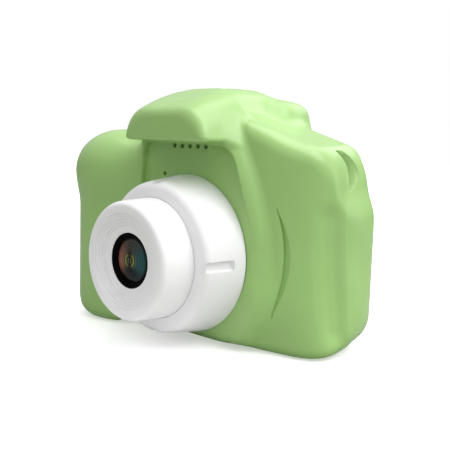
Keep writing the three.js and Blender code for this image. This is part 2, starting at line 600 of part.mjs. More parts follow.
add('usb_port', cut(box(-3.2, 4.4, 4.9, PARTS_Y, 2.3, 8.2), [
  box(-2.5, 3.7, 5.6, 7.2, 0, 7.0),
]), 'steel');
add('card_slot', cut(box(7.2, 20.6, 4.9, PARTS_Y, 2.4, 19.0), [
  box(8.2, 19.6, 5.7, 7.1, 0, 18.0),
]), 'steel');
add('memory_card', box(8.45, 19.35, 5.9, 6.9, 2.0, 17.0), 'chip');
add('reset_switch', box(RESET.x - 2, RESET.x + 2, 5.4, PARTS_Y, 5.2, 8.2), 'dark');

// ---------------------------------------------------------------- top buttons, in the tilted frame
for (const { name, x, r } of TOP_BUTTONS) {
  add(`${name}_button`, turnY([
    [0, -4.5], [1.6, -4.5], [1.6, -3.4], [r + 0.9, -3.4], [r + 0.9, -2.5],
    [r, -2.5], [r, 0.15], [r - 0.5, 0.5], [0, 0.6],
  ], 20).rotateX(Math.PI / 2).translate(x, 0, 0), 'key', topGroup);
}
for (const { name, x } of TOP_BUTTONS) {
  add(`${name}_switch_plunger`, cylZ(x, 0, 1.0, -6.3, -4.65, 10), 'dark', topGroup);
  add(`${name}_switch`, cut(box(x - 2.2, x + 2.2, -2.2, 2.2, -7.9, -5.6), [
    cylZ(x, 0, 1.3, -7.5, -4, 10),
  ]), 'dark', topGroup);
}
add('top_button_board', box(-30.4, -13.6, -3.4, 3.4, -9.2, -8.1), 'board', topGroup);
group.add(topGroup);

// ---------------------------------------------------------------- power, sound
add('battery', plateY([5.5, 28.6, 20.4, 44.0], 1.5, -1.6, 3.6), 'cell');
add('battery_pad', box(7, 27, -2.3, -1.7, 22, 42), 'foam');
add('battery_lead_positive',
  wire([[20, 3.0, 44.6], [20, 4.6, 46.4], [18, 6.4, 44.6], [17, 7.3, 38.5]], 0.5), 'red');
add('battery_lead_negative',
  wire([[23, 3.0, 44.6], [23, 4.6, 46.4], [22, 6.4, 44.6], [21, 7.3, 38.5]], 0.5), 'dark');
add('speaker', toGeometry(union([
  cylY(0, SPEAKER_Z, SPEAKER_R, -11.4, -9.6, 32),
  cylY(0, SPEAKER_Z, 5.0, -9.8, -8.0, 24),
])), 'dark');
add('speaker_gasket', turnY([
  [6.2, GASKET_Y], [SPEAKER_R, GASKET_Y], [SPEAKER_R, -11.5], [6.2, -11.5],
], 32, 0, SPEAKER_Z), 'foam');
add('speaker_lead_a',
  wire([[-1.6, -7.4, 50], [-2, -2, 51], [-3, 3, 46], [-4, 7.2, 38.5]], 0.4), 'red');
add('speaker_lead_b',
  wire([[1.2, -7.4, 50], [1.0, -2, 51], [0, 3, 46], [-1.6, 7.2, 38.5]], 0.4), 'dark');
add('microphone', cylY(MIC.x, MIC.z, 2.0, -11.4, -9.8, 16), 'steel');
add('microphone_boot', turnY([
  [1.0, GASKET_Y], [2.9, GASKET_Y], [2.9, -9.6], [2.2, -9.6], [2.2, -11.5], [1.0, -11.5],
], 20, MIC.x, MIC.z), 'foam');

// ---------------------------------------------------------------- port cover
// Hinged on its rounded front edge.
function portCover() {
  const y = PORT.y0 + 0.85, z = 0.72, r = 0.62;
  const s = new THREE.Shape();
  s.moveTo(y, z - r);
  s.lineTo(PORT.y1 - 0.5, z - r);
  s.lineTo(PORT.y1 - 0.25, z - r + 0.3);
  s.lineTo(PORT.y1 - 0.25, z + r);
  s.lineTo(y, z + r);
  s.absarc(y, z, r, Math.PI / 2, Math.PI * 1.5, false);
  return extrudeX(s, PORT.x0, PORT.x1, 6);
}
add('port_cover', portCover(), 'rubber');

// ---------------------------------------------------------------- screws
// Each points towards -Y, its head standing behind the seat plane.
function addScrews(name, places, seatY, tipY, { headR, shankR, headH }) {
  places.forEach((place, i) => add(`${name}_${i + 1}`, turnY([
    [0, tipY(place)], [shankR, tipY(place) + 0.5], [shankR, seatY], [headR, seatY],
    [headR, seatY + headH * 0.6], [headR * 0.7, seatY + headH], [0, seatY + headH],
  ], 12, place.x, place.z), 'steel'));
}
const BARREL_SEAT_Y = SEAT_INNER_Y + HEAD_GAP;
addScrews('case_screw', CASE_SCREWS, HEAD_FLOOR_Y + HEAD_GAP, (s) => s.tip,
  { headR: 2.0, shankR: 1.0, headH: 1.5 });
addScrews('board_screw', BOARD_POSTS, BOARD.y1 + 0.1, () => 2.0,
  { headR: 1.8, shankR: 0.8, headH: 0.85 });
addScrews('barrel_screw', BARREL_SCREWS, BARREL_SEAT_Y, () => BARREL_SEAT_Y - 5.5,
  { headR: 1.9, shankR: 0.9, headH: 1.3 });

export default group;
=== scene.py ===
# Looks of a child's digital camera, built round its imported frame. Lengths in mm until a mesh is finished, then metres.
import bpy
import json
import math
import numpy as np
from mathutils import Matrix, Vector

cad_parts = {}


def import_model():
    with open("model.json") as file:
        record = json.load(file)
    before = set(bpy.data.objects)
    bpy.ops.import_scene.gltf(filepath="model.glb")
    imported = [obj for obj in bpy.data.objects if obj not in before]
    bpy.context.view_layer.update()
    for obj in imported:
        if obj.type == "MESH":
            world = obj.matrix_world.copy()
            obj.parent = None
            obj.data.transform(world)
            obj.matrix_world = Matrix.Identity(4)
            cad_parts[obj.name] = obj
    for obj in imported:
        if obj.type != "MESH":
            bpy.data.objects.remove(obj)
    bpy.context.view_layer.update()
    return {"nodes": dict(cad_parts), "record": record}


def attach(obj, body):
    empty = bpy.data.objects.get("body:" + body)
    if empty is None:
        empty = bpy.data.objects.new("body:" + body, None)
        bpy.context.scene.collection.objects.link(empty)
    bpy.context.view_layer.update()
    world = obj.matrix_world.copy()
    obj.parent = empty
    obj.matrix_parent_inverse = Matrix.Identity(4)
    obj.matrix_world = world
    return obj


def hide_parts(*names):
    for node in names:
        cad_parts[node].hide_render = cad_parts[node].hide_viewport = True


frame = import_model()
MM = 0.001
SEAT_Y, LENS_Z, BACK_Y, WALL = -14.0, 22.0, 16.0, 1.9
SEAM_Y, SEAM_GAP = 2.0, 0.004

# ------------------------------------------------------------------ case surface as a signed field
def smin(a, b, k):
    h = np.maximum(k - np.abs(a - b), 0) / k
    return np.minimum(a, b) - h * h * k * 0.25
def smax(a, b, k): return -smin(-a, -b, k)
def sstep(a, b, x):
    t = np.clip((x - a) / (b - a), 0, 1); return t * t * (3 - 2 * t)

def case(X, Y, Z, brow=True):
    x, y, z = X, Y - SEAT_Y, Z - LENS_Z
    ax = np.abs(x)
    waist = 2.0 * sstep(11.0, 18.5, z) * sstep(13.0, 18.5, y)
    right = x - 38.7 + waist
    roof_l = 30.6 - 0.14 * (y - 4.0) - 0.03 * np.maximum(-34.0 - x, 0) ** 2
    roof_r = (33.1 - 0.305 * smax(ax - 15.5, 0 * ax, 4.0) + 0.04 * (y - 28.0) - 0.19 * np.maximum(ax - (29.3 + 0.075 * (28.0 - y)), 0) ** 2
              + 1.7 * sstep(19.0, 5.0, y) * sstep(28.5, 17.0, x) * sstep(8, 15, x))
    roof = roof_r + (roof_l - roof_r) * sstep(6.0, -14.0, x)
    m = smax(right, (z - roof) * 0.93, 5.0)
    toe = 0.075 * np.maximum(-15.5 - z, 0) ** 2
    fr = np.maximum(14 - y, 0); rr = np.maximum(y - 17, 0)
    top = 41.9 - 0.0112 * fr * fr - 0.012 * rr * rr
    hump = smax((ax - (15.3 + 0.72 * (30.0 - z))) * 0.81, z - top, 3.6)
    hump = smax(hump, y - 23.6, 5.5)
    o = smax(smin(m, hump, 5.0), -x - 39.6 + toe, 8.0)
    o = smax(o, y - (BACK_Y - SEAT_Y), 6.5)
    ex = smax(ax - 14.3 - 0.10 * (36 - z), y - 32.2, 4.5)
    ex = smax(ex, z - 39.3, 4.5); ex = smax(ex, 18.0 - y, 7.0); ex = smax(ex, 22.0 - z, 5.0)
    o = smin(o, ex, 3.6)
    low = sstep(-7.0, -20.0, z); pa = smax(ax, 0 * ax + 16.0, 6.0) - 20.0
    panel = ((1.8 + 2.6 * low) + (0.36 - 0.20 * low) * pa - y) * 0.94
    flute = 1.25 * sstep(8.5, 12.8, y) * (1 - sstep(13.7, 16.5, y)) * sstep(24, 33, x) * sstep(-21, -15, z) * sstep(16.0, 11.0, z)
    panel = smax(panel, right + flute, 18.0 - 8.0 * sstep(6.0, -22.0, z))
    zc = z + 3.0
    side = np.hypot(x, np.minimum(zc, 0)) - 24.9 + 0.0072 * np.maximum(zc, 0) ** 2
    tilt = np.minimum(np.maximum(np.hypot(x, z) - 20.4, 0), np.maximum(x - 16.8 - (22.0 - z) * 0.26 + 3.0 * sstep(8.0, -2.0, z), 0))
    yb = -2.3 * sstep(0.0, 26.0, z) + 0.10 * np.maximum(z - 31.0, 0) ** 1.5 + 0.40 * tilt
    block = smax(side + 0.3, yb - y, 4.5)
    front = smin(panel, block, 1.2 + 5.0 * sstep(2.0, -16.0, z))
    d = smax(o, front, 3.8 + 1.8 * sstep(1.5, -1.5, side))
    if brow:
        br = smax((ax - (14.3 + (0.18 + 0.20 * sstep(-4.0, 4.0, x)) * (28.4 - z) + 0.16 * (y + 9.7))) * 0.97, z - top, 6.5)
        br = smax(br, -9.8 - y, 2.0); br = smax(br, 28.2 - z, 1.2); br = smax(br, y - 6.0, 2.0)
        d = smin(d, br, 2.0)
    w = np.where(x < 0, 15.6 + (24.5 - z) * 0.13, 17.2 + (22.0 - z) * 0.26)
    n = smax(ax - w, z - 27.6, 5.0 - 4.4 * sstep(4.0, -4.0, x))
    n = np.maximum(np.maximum(n, y), -7.0 - y)
    d = smax(d, -n, 0.6)
    g = smax(-x - 41.6 + toe, -7.4 - y, 9.5)
    g = smax(g, (x + 15.0) * 0.58 - (y + 1.2) * 0.815, 5.0)
    g = smax(g, z - 26.5, 9.0); g = smax(g, y - 18.0, 6.0); g = smax(g, -n, 0.6)
    d = smin(d, g, 4.0)
    a, b, c = 11.8, 10.4, 10.9
    hx, hy, hz = (x + 30.0) / a, (y - 1.6) / b, (z - 19.7) / c
    k1 = np.sqrt(hx * hx + hy * hy + hz * hz) + 1e-9
    k2 = np.sqrt((hx / a) ** 2 + (hy / b) ** 2 + (hz / c) ** 2) + 1e-9
    d = smin(d, k1 * (k1 - 1) / k2, 4.0)
    foot = 2.6 + 2.4 * sstep(22.0, 13.0, x) * sstep(-24.0, -12.0, x) + 0.9 * sstep(-14.0, -26.0, x) + 6.4 * sstep(8.0, 22.0, y) * sstep(20.0, 34.0, x)
    return smax(d, -LENS_Z - z, foot)

def gradient(f, P, e=1e-3):
    g = np.stack([f(*(P + np.eye(3)[i] * e).T) - f(*(P - np.eye(3)[i] * e).T) for i in range(3)], 1) / (2 * e)
    return g

def surface_nets(f, lo, hi, step):
    """Closed quad surface where f crosses zero, its points slid onto the surface."""
    ax = [np.arange(a, b + step, step) for a, b in zip(lo, hi)]
    F = np.empty([len(a) for a in ax])
    Y, Z = np.meshgrid(ax[1], ax[2], indexing="ij")
    for i in range(0, len(ax[0]), 8):
        xs = ax[0][i:i + 8]
        F[i:i + 8] = f(xs[:, None, None] + 0 * Y[None], Y[None] + 0 * xs[:, None, None], Z[None] + 0 * xs[:, None, None])
    nx, ny, nz = F.shape
    corners = [(i, j, k) for i in (0, 1) for j in (0, 1) for k in (0, 1)]
    S = F < 0
    cs = sum(S[i:nx - 1 + i, j:ny - 1 + j, k:nz - 1 + k].astype(np.int8) for i, j, k in corners)
    mixed = (cs > 0) & (cs < 8)
    idx = -np.ones(mixed.shape, np.int64)
    I, J, K = np.nonzero(mixed); n = len(I); idx[I, J, K] = np.arange(n)
    cv = [F[I + i, J + j, K + k] for i, j, k in corners]
    acc = np.zeros((n, 3)); cnt = np.zeros(n)
    for a in range(8):
        for b in range(a + 1, 8):
            if sum(abs(p - q) for p, q in zip(corners[a], corners[b])) != 1: continue
            m = (cv[a] < 0) != (cv[b] < 0)
            t = np.where(m, cv[a] / np.where(m, cv[a] - cv[b], 1), 0)
            pa, pb = np.array(corners[a], float), np.array(corners[b], float)
            acc += np.where(m[:, None], pa + (pb - pa) * t[:, None], 0); cnt += m
    P = np.c_[I, J, K] + acc / cnt[:, None]
    P = np.array(lo) + P * step
    Q = []
    for c in range(3):
        s0 = [slice(None)] * 3; s1 = [slice(None)] * 3
        s0[c] = slice(0, -1); s1[c] = slice(1, None)
        a, b = S[tuple(s0)], S[tuple(s1)]
        E = np.argwhere(a != b); u, v = (c + 1) % 3, (c + 2) % 3
        E = E[(E[:, u] > 0) & (E[:, v] > 0) & (E[:, u] < F.shape[u] - 1) & (E[:, v] < F.shape[v] - 1)]
        inside = a[E[:, 0], E[:, 1], E[:, 2]]
        q = []
        for du, dv in ((-1, -1), (0, -1), (0, 0), (-1, 0)):
            C = E.copy(); C[:, u] += du; C[:, v] += dv; q.append(idx[C[:, 0], C[:, 1], C[:, 2]])
        q = np.stack(q, 1); q[~inside] = q[~inside][:, ::-1]; Q.append(q)
    P0 = P.copy()
    for _ in range(4):
        g = gradient(f, P)
        P = P - g * (f(*P.T) / np.maximum((g * g).sum(1), 0.05))[:, None]
        mv = P - P0; l = np.linalg.norm(mv, axis=1); lim = step * 1.1
        P = P0 + mv * np.where(l > lim, lim / np.maximum(l, 1e-9), 1)[:, None]
    return P, np.concatenate(Q)

# ------------------------------------------------------------------ mesh helpers (mm)
def obj(name, V, F):
    me = bpy.data.meshes.new(name)
    me.from_pydata([tuple(map(float, v)) for v in V] if not isinstance(V, np.ndarray) else V.tolist(), [], F.tolist() if isinstance(F, np.ndarray) else F)
    me.update()
    o = bpy.data.objects.new(name, me)
    bpy.context.scene.collection.objects.link(o)
    return o

def parts(*gs):
    """Joins (V, F) pairs that stay separate closed bodies."""
    V, F, n = [], [], 0
    for v, f in gs:
        V.append(np.asarray(v, float)); F += [[i + n for i in q] for q in f]; n += len(v)
    return np.concatenate(V), F

def tool(*gs):
    return obj("tool", *parts(*gs))

def boolean(o, other, op, keep=False):
    m = o.modifiers.new("b", "BOOLEAN"); m.operation = op; m.object = other; m.solver = "MANIFOLD"
    dg = bpy.context.evaluated_depsgraph_get()
    me = bpy.data.meshes.new_from_object(o.evaluated_get(dg))
    o.modifiers.clear(); old = o.data; o.data = me; me.name = o.name; bpy.data.meshes.remove(old)
    if not keep: bpy.data.objects.remove(other)
    if len(me.polygons) == 0: raise RuntimeError("empty boolean on " + o.name)
    return o
def cut(o, *gs): return boolean(o, tool(*gs), "DIFFERENCE")

def box(x0, x1, y0, y1, z0, z1):
    V = [(x, y, z) for x in (x0, x1) for y in (y0, y1) for z in (z0, z1)]
    return np.array(V, float), [[0, 1, 3, 2], [4, 6, 7, 5], [0, 4, 5, 1], [2, 3, 7, 6], [0, 2, 6, 4], [1, 5, 7, 3]]

def ring_loft(rings):
    """Closed body through rings of equal point count, capped at both ends."""
    n = len(rings[0]); V = np.concatenate(rings); F = []
    for i in range(len(rings) - 1):
        for j in range(n):
            a, b = i * n + j, i * n + (j + 1) % n
            F.append([a, b, b + n, a + n])
    F.append(list(range(n))[::-1]); F.append([(len(rings) - 1) * n + j for j in range(n)])
    g = (V, F)
    return g if volume(g) > 0 else (V, [q[::-1] for q in F])

def volume(g):
    V, F = g; V = np.asarray(V); s = 0.0
    for q in F:
        for i in range(1, len(q) - 1): s += np.dot(V[q[0]], np.cross(V[q[i]], V[q[i + 1]]))
    return s / 6

def cyl_y(x, z, r, y0, y1, n=48, r1=None):
    t = np.linspace(0, 2 * math.pi, n, endpoint=False)
    r1 = r if r1 is None else r1
    return ring_loft([np.c_[x + q * np.cos(t), 0 * t + y, z + q * np.sin(t)] for y, q in ((y0, r), (y1, r1))])
def cyl_z(x, y, r, z0, z1, n=48):
    t = np.linspace(0, 2 * math.pi, n, endpoint=False)
    return ring_loft([np.c_[x + r * np.cos(t), y + r * np.sin(t), 0 * t + z] for z in (z0, z1)])

def rounded(x0, x1, z0, z1, r, n=10):
    P = []
    for cx, cz, a in ((x1 - r, z0 + r, -90), (x1 - r, z1 - r, 0), (x0 + r, z1 - r, 90), (x0 + r, z0 + r, 180)):
        for i in range(n + 1):
            t = math.radians(a + 90 * i / n); P.append((cx + r * math.cos(t), cz + r * math.sin(t)))
    return np.array(P)
def plate_y(x0, x1, z0, z1, r, y0, y1, bevel=0.0, n=10):
    """Rounded plate; its +Y edge can be rounded over by bevel."""
    rings = []
    prof = [(y0, 0.0), (y1, 0.0)] if not bevel else [(y0, 0.0)] + [(y1 - bevel + bevel * math.sin(a), bevel * (1 - math.cos(a))) for a in np.linspace(0, math.pi / 2, 6)]
    for y, s in prof:
        p = rounded(x0 + s, x1 - s, z0 + s, z1 - s, max(r - s, 0.05), n); rings.append(np.c_[p[:, 0], 0 * p[:, 0] + y, p[:, 1]])
    return ring_loft(rings)

def fillet(points, seg=7):
    """Closed or open [a, b] profile; a third number rounds that corner."""
    out = []
    n = len(points)
    for i, p in enumerate(points):
        r = p[2] if len(p) > 2 else 0
        c = np.array(p[:2], float)
        if r <= 0: out.append(c); continue
        a = np.array(points[(i - 1) % n][:2], float) - c; b = np.array(points[(i + 1) % n][:2], float) - c
        la, lb = np.linalg.norm(a), np.linalg.norm(b); a /= la; b /= lb
        half = math.acos(max(-1, min(1, float(a @ b)))) / 2
        t = min(r / math.tan(half), la * 0.49, lb * 0.49)
        r = t * math.tan(half)
        m = a + b; m /= np.linalg.norm(m); ctr = c + m * (r / math.sin(half))
        p0, p1 = c + a * t, c + b * t
        a0, a1 = math.atan2(*(p0 - ctr)[::-1]), math.atan2(*(p1 - ctr)[::-1])
        da = (a1 - a0 + math.pi) % (2 * math.pi) - math.pi
        for k in range(seg + 1): out.append(ctr + r * np.array([math.cos(a0 + da * k / seg), math.sin(a0 + da * k / seg)]))
    return out

def lathe_y(profile, n=160, cx=0.0, cz=0.0, seg=7):
    """Closed [r, y] profile turned about the Y direction. Points with r 0 close on the axis."""
    P = fillet(profile, seg)
    t = np.linspace(0, 2 * math.pi, n, endpoint=False)
    V, F, ids = [], [], []
    for r, y in P:
        if r < 1e-6: ids.append([len(V)]); V.append((cx, y, cz))
        else:
            ids.append(list(range(len(V), len(V) + n)))
            V += [(cx + r * math.cos(a), y, cz + r * math.sin(a)) for a in t]
    m = len(P)
    for i in range(m):
        A, B = ids[i], ids[(i + 1) % m]
        if len(A) == 1 and len(B) == 1: continue
        for j in range(n):
            k = (j + 1) % n
            if len(A) == 1: F.append([A[0], B[j], B[k]])
            elif len(B) == 1: F.append([A[j], B[0], A[k]])
            else: F.append([A[j], B[j], B[k], A[k]])
    g = (np.array(V), F)
    return g if volume(g) > 0 else (g[0], [q[::-1] for q in F])

def to(g, M):
    V, F = g
    return (np.asarray(V) @ np.array(M.to_3x3()).T + np.array(M.translation)), F

def shade(o, angle=32):
    me = o.data
    me.transform(Matrix.Scale(MM, 4)); me.update()
    me.shade_smooth(); me.set_sharp_from_angle(angle=math.radians(angle))
    return o

def field_normals(o):
    """Shading normals of the outer surface come from the field itself, so boolean cuts leave no creases in it."""
    me = o.data
    nv, nl, npoly = len(me.vertices), len(me.loops), len(me.polygons)
    co = np.empty(nv * 3, np.float32); me.vertices.foreach_get("co", co); co = co.reshape(-1, 3).astype(float) / MM
    near = np.abs(case(*co.T)) < 0.03
    G = np.zeros((nv, 3)); G[near] = gradient(case, co[near]); G /= np.maximum(np.linalg.norm(G, axis=1), 1e-9)[:, None]
    vi = np.empty(nl, np.int32); me.loops.foreach_get("vertex_index", vi)
    fn = np.empty(npoly * 3, np.float32); me.polygons.foreach_get("normal", fn); fn = fn.reshape(-1, 3)
    ls = np.empty(npoly, np.int32); me.polygons.foreach_get("loop_total", ls)
    pn = np.repeat(fn, ls, axis=0)
    cn = np.empty(nl * 3, np.float32); me.corner_normals.foreach_get("vector", cn); cn = cn.reshape(-1, 3)
    use = near[vi] & ((G[vi] * pn).sum(1) > 0.9)
    me.normals_split_custom_set(np.where(use[:, None], G[vi], cn).tolist())

MAT = {}
def finish_piece(o, body, slot, replaces=(), angle=32, field=False, mat=None):
    shade(o, angle)
    if field: field_normals(o)
    o.data.materials.clear(); o.data.materials.append(MAT[mat or slot])
    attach(o, body)
    if replaces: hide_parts(*replaces)
    return o

# ------------------------------------------------------------------ materials
class Nodes:
    def __init__(self, name):
        self.m = bpy.data.materials.new(name); self.m.use_nodes = True
        self.t = self.m.node_tree; self.b = self.t.nodes["Principled BSDF"]
        self.co = self.t.nodes.new("ShaderNodeTexCoord").outputs["Object"]
    def new(self, kind, **kw):
        n = self.t.nodes.new(kind)
        for k, v in kw.items():
            if k in n.inputs: self.plug(n.inputs[k], v)
            else: setattr(n, k, v)
        return n
    def plug(self, socket, v):
        if isinstance(v, bpy.types.NodeSocket): self.t.links.new(v, socket)
        else: socket.default_value = v
    def noise(self, scale, detail=3.0, rough=0.5, vec=None):
        return self.new("ShaderNodeTexNoise", Vector=vec or self.co, Scale=scale, Detail=detail, Roughness=rough).outputs["Fac"]
    def math(self, op, a, b=0.0, c=0.0, clamp=False):
        n = self.t.nodes.new("ShaderNodeMath"); n.operation = op; n.use_clamp = clamp
        for i, v in enumerate((a, b, c)): self.plug(n.inputs[i], v)
        return n.outputs[0]
    def remap(self, v, a, b, c, d):
        n = self.t.nodes.new("ShaderNodeMapRange"); n.clamp = True
        for i, q in enumerate((v, a, b, c, d)): self.plug(n.inputs[i], q)
        return n.outputs[0]
    def ramp(self, v, stops, mode="LINEAR"):
        n = self.t.nodes.new("ShaderNodeValToRGB"); n.color_ramp.interpolation = mode
        self.plug(n.inputs[0], v); e = n.color_ramp.elements
        while len(e) < len(stops): e.new(0.5)
        for q, (p, c) in zip(e, stops): q.position = p; q.color = (*c, 1)
        return n.outputs[0]
    def mix(self, f, a, b, mode="MIX"):
        n = self.t.nodes.new("ShaderNodeMix"); n.data_type = "RGBA"; n.blend_type = mode
        self.plug(n.inputs[0], f)
        for s, v in ((n.inputs[6], a), (n.inputs[7], b)): self.plug(s, v if isinstance(v, bpy.types.NodeSocket) else (*v, 1))
        return n.outputs[2]
    def set(self, **kw):
        names = dict(color="Base Color", rough="Roughness", metal="Metallic", coat="Coat Weight", coat_rough="Coat Roughness", normal="Normal", ior="IOR", spec="Specular IOR Level",
                     sss="Subsurface Weight", aniso="Anisotropic", sheen="Sheen Weight", alpha="Alpha", trans="Transmission Weight")
        for k, v in kw.items():
            if k == "color" and not isinstance(v, bpy.types.NodeSocket): v = (*v, 1)
            self.plug(self.b.inputs[names[k]], v)
        return self
    def bump(self, height, strength, dist, soft=None):
        n = self.new("ShaderNodeBump", Height=height, Strength=strength, Distance=dist)
        if soft: self.t.links.new(self.new("ShaderNodeBevel", samples=4, Radius=soft).outputs[0], n.inputs["Normal"])
        return n.outputs[0]

def plastic(name, col, rough, var=0.05, tint=0.04, grain=2600.0, depth=0.12, soft=0.00025, coat=0.0, sss=0.0, spec=0.5, seam=None):
    """Moulded plastic: fine spark-eroded grain, slow flow variation in colour and gloss, softened edges."""
    k = Nodes(name)
    if seam is not None:
        away = k.math("ABSOLUTE", k.math("SUBTRACT", k.new("ShaderNodeSeparateXYZ", Vector=k.co).outputs[1], seam))
        soft = k.remap(away, 0.0003, 0.0008, 0.0000001, soft)
    flow = k.noise(38.0, 2.0); mid = k.noise(260.0, 4.0, 0.6); fine = k.noise(grain, 2.0)
    c = k.mix(k.remap(flow, 0.3, 0.7, 0, 1), tuple(q * (1 - tint) for q in col), tuple(min(q * (1 + tint), 1) for q in col))
    c = k.mix(k.remap(mid, 0.35, 0.75, 0, 0.10), c, tuple(q * 0.86 for q in col))
    r = k.math("ADD", k.remap(mid, 0.3, 0.7, rough - var, rough + var), k.remap(fine, 0.3, 0.7, -0.02, 0.02))
    h = k.math("ADD", fine, k.math("MULTIPLY", mid, 0.6))
    k.set(color=c, rough=r, normal=k.bump(h, depth, 0.00006, soft), coat=coat, coat_rough=0.18, sss=sss, spec=spec)
    if sss: k.b.inputs["Subsurface Radius"].default_value = (0.0022, 0.0022, 0.0012); k.b.inputs["Subsurface Scale"].default_value = 1.0
    MAT[name] = k.m; return k

def metal(name, col, rough, stretch=(1, 1, 40), scale=420.0, metallic=1.0):
    k = Nodes(name)
    mp = k.new("ShaderNodeMapping", Vector=k.co); mp.inputs["Scale"].default_value = stretch
    br = k.noise(scale, 4.0, 0.7, mp.outputs[0]); dirt = k.noise(90.0, 4.0, 0.6)
    c = k.mix(k.remap(dirt, 0.35, 0.7, 0, 0.35), col, tuple(q * 0.7 for q in col))
    k.set(color=c, metal=metallic, rough=k.math("ADD", k.remap(br, 0.2, 0.8, rough - 0.08, rough + 0.12), k.remap(dirt, 0.4, 0.7, 0, 0.1)), normal=k.bump(br, 0.15, 0.00003, 0.0001))
    MAT[name] = k.m; return k

GREEN = (0.330, 0.556, 0.174)
plastic("case_green", GREEN, 0.38, 0.05, 0.025, coat=0.30, spec=0.5, seam=SEAM_Y * MM)
plastic("barrel_white", (0.915, 0.900, 0.915), 0.36, 0.05, 0.015, coat=0.10)
plastic("trim_black", (0.0012, 0.0012, 0.0014), 0.6, 0.06, 0.2, spec=0.03)
plastic("key_white", (0.80, 0.79, 0.80), 0.36, 0.05, 0.02, coat=0.15)
plastic("key_mark", (0.16, 0.17, 0.18), 0.5, 0.05, 0.05)
plastic("cover_rubber", (0.36, 0.60, 0.20), 0.62, 0.06, 0.04, grain=1800.0, depth=0.3)
plastic("chip_black", (0.014, 0.014, 0.015), 0.48, 0.08, 0.25, grain=1500.0, depth=0.35, soft=0.0001)
plastic("wire_red", (0.42, 0.02, 0.015), 0.42, 0.06, 0.08, soft=0.0001)
plastic("wire_black", (0.02, 0.02, 0.021), 0.42, 0.06, 0.2, soft=0.0001)
metal("shield_steel", (0.60, 0.61, 0.62), 0.30)
metal("screw_steel", (0.50, 0.51, 0.53), 0.28, (1, 30, 1))
metal("cell_silver", (0.62, 0.64, 0.66), 0.36, (1, 1, 12), 300.0, 0.75)
metal("contact_gold", (0.78, 0.55, 0.18), 0.30)
k = Nodes("board_green"); tr = k.new("ShaderNodeTexBrick", Vector=k.co, Scale=260.0); tr.inputs["Mortar Size"].default_value = 0.06
tr.inputs["Color1"].default_value = (0.012, 0.13, 0.045, 1); tr.inputs["Color2"].default_value = (0.016, 0.16, 0.055, 1); tr.inputs["Mortar"].default_value = (0.006, 0.08, 0.028, 1)
k.set(color=k.mix(k.remap(k.noise(500.0, 5.0), 0.45, 0.6, 0, 0.3), tr.outputs["Color"], (0.03, 0.22, 0.08)), rough=k.remap(k.noise(700.0), 0.3, 0.7, 0.28, 0.45), normal=k.bump(tr.outputs["Fac"], 0.3, 0.00005), coat=0.3)
MAT["board_green"] = k.m
k = Nodes("foam_black"); v = k.new("ShaderNodeTexVoronoi", Vector=k.co, Scale=1900.0).outputs["Distance"]
k.set(color=k.mix(k.remap(v, 0.1, 0.6, 0, 1), (0.008, 0.008, 0.008), (0.035, 0.035, 0.037)), rough=0.92, normal=k.bump(v, 0.8, 0.0002)); MAT["foam_black"] = k.m
k = Nodes("flex_amber"); v = k.new("ShaderNodeTexWave", Vector=k.co, Scale=340.0, Distortion=0.2).outputs["Fac"]
k.set(color=k.mix(v, (0.42, 0.13, 0.02), (0.62, 0.27, 0.05)), rough=k.remap(k.noise(500.0), 0.3, 0.7, 0.25, 0.42), normal=k.bump(v, 0.2, 0.00004)); MAT["flex_amber"] = k.m

# the coated front element: nested rings painted on the dome as if seen in depth, with painted reflections: yellow-green
# arcs either side of the centre, warm on the grip side, blue-green on the other, grey at the top, and darker towards
# the bottom
k = Nodes("lens_glass")
sep = k.new("ShaderNodeSeparateXYZ", Vector=k.co); X = sep.outputs[0]; Zc = k.math("SUBTRACT", sep.outputs[2], LENS_Z * MM)
R = k.math("SQRT", k.math("ADD", k.math("MULTIPLY", X, X), k.math("MULTIPLY", Zc, Zc)))
rn = k.math("DIVIDE", R, 0.0054)
sx = k.math("DIVIDE", X, k.math("ADD", R, 1e-5)); sz = k.math("DIVIDE", Zc, k.math("ADD", R, 1e-5))
# painted reflections: dark rings round the centre, with bright yellow-green arcs
painted_rings = k.ramp(rn, [(0.0, (0.012, 0.012, 0.02)), (0.06, (0.02, 0.02, 0.03)), (0.10, (0.16, 0.17, 0.05)), (0.14, (0.015, 0.015, 0.02)), (0.20, (0.02, 0.02, 0.02)), (0.245, (0.22, 0.23, 0.045)),
                   (0.31, (0.13, 0.14, 0.03)), (0.345, (0.02, 0.022, 0.02)), (0.41, (0.09, 0.10, 0.035)), (0.46, (0.014, 0.016, 0.014)), (1.0, (0.010, 0.011, 0.012))])
arc_reflection_mask = k.remap(k.math("ABSOLUTE", sx), 0.25, 0.62, 0.02, 1.0)
c = k.mix(arc_reflection_mask, (0.010, 0.011, 0.014), painted_rings)
ringv = k.math("SINE", k.math("MULTIPLY", rn, 46.0)); ringf = k.remap(ringv, -0.2, 1.0, 0.55, 1.0)
band = k.math("MULTIPLY", k.remap(rn, 0.30, 0.52, 0, 1), k.remap(rn, 0.86, 1.0, 1, 0.25))
# painted reflections in the ring band: warm on the grip side, blue-green on the other, grey at the top; the last mix
# below darkens the bottom
warm_reflection = k.math("MULTIPLY", k.math("MULTIPLY", k.remap(sx, -0.15, -0.95, 0, 1), band), ringf)
cool_reflection = k.math("MULTIPLY", k.math("MULTIPLY", k.remap(sx, 0.05, 0.95, 0, 1), band), ringf)
up = k.math("MULTIPLY", k.math("MULTIPLY", k.remap(sz, 0.25, 1.0, 0, 0.7), band), ringf)
c = k.mix(warm_reflection, c, (0.300, 0.110, 0.070)); c = k.mix(cool_reflection, c, (0.028, 0.105, 0.110)); c = k.mix(up, c, (0.080, 0.074, 0.058)); c = k.mix(k.math("MULTIPLY", k.remap(sz, -0.45, -0.95, 0, 0.95), k.remap(rn, 0.2, 0.45, 0, 1)), c, (0.006, 0.007, 0.010))
k.set(color=c, rough=k.remap(k.noise(900.0), 0.3, 0.7, 0.16, 0.22), coat=0.10, coat_rough=0.02, normal=k.bump(ringv, 0.12, 0.00005), spec=0.10)
MAT["lens_glass"] = k.m

